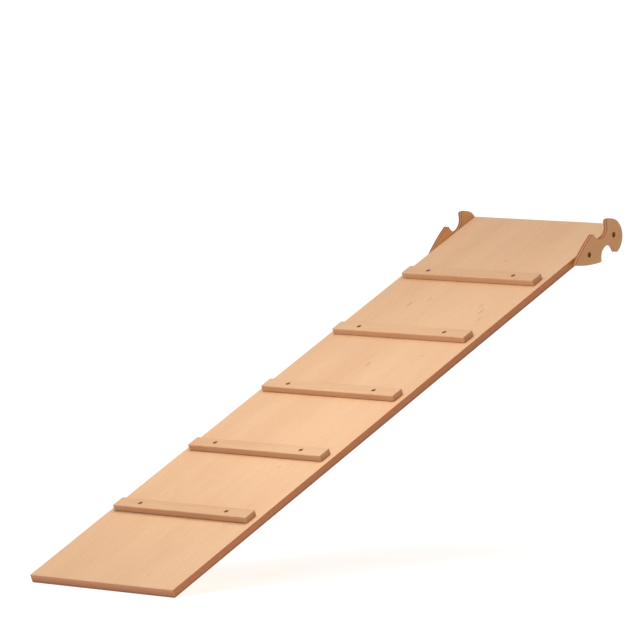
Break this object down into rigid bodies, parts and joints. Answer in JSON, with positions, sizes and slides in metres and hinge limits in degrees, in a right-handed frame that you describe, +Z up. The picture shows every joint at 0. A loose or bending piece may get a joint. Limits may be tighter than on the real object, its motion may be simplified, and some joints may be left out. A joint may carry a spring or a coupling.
{
  "type": "toddler slide board",
  "caption": "Flat wooden slide and climbing board with cross cleats on one face and hook plates at the top end that hang it on a ladder rung.",
  "frame": {"origin": "centre line of the two lower hook notches, half way across the board: where the ladder rung goes that the board hangs on", "axes": "+X horizontally up the slope, from the low end to the hooks; +Y across the board, along the rung; +Z up, with the low end's lower edge on a floor 0.51 m below the origin"},
  "size_m": [1.124, 0.3306, 0.5748],
  "materials": {
    "beech_plywood": "clear satin lacquer on beech-faced plywood",
    "solid_beech": "clear satin lacquer on solid beech",
    "hook_plywood": "clear satin lacquer on plywood with its plies showing at the edges",
    "bronzed_steel": "dark bronzed countersunk screws"
  },
  "bodies": {
    "root": {"slide_board": "beech_plywood", "cleat_1": "solid_beech", "cleat_2": "solid_beech", "cleat_3": "solid_beech", "cleat_4": "solid_beech", "cleat_5": "solid_beech", "hook_plate_left": "hook_plywood", "hook_plate_right": "hook_plywood", "cleat_1_screw_left": "bronzed_steel", "cleat_1_screw_right": "bronzed_steel", "cleat_2_screw_left": "bronzed_steel", "cleat_2_screw_right": "bronzed_steel", "cleat_3_screw_left": "bronzed_steel", "cleat_3_screw_right": "bronzed_steel", "cleat_4_screw_left": "bronzed_steel", "cleat_4_screw_right": "bronzed_steel", "cleat_5_screw_left": "bronzed_steel", "cleat_5_screw_right": "bronzed_steel", "hook_plate_left_screw_front": "bronzed_steel", "hook_plate_left_screw_rear": "bronzed_steel", "hook_plate_right_screw_front": "bronzed_steel", "hook_plate_right_screw_rear": "bronzed_steel"}
  },
  "joints": []
}
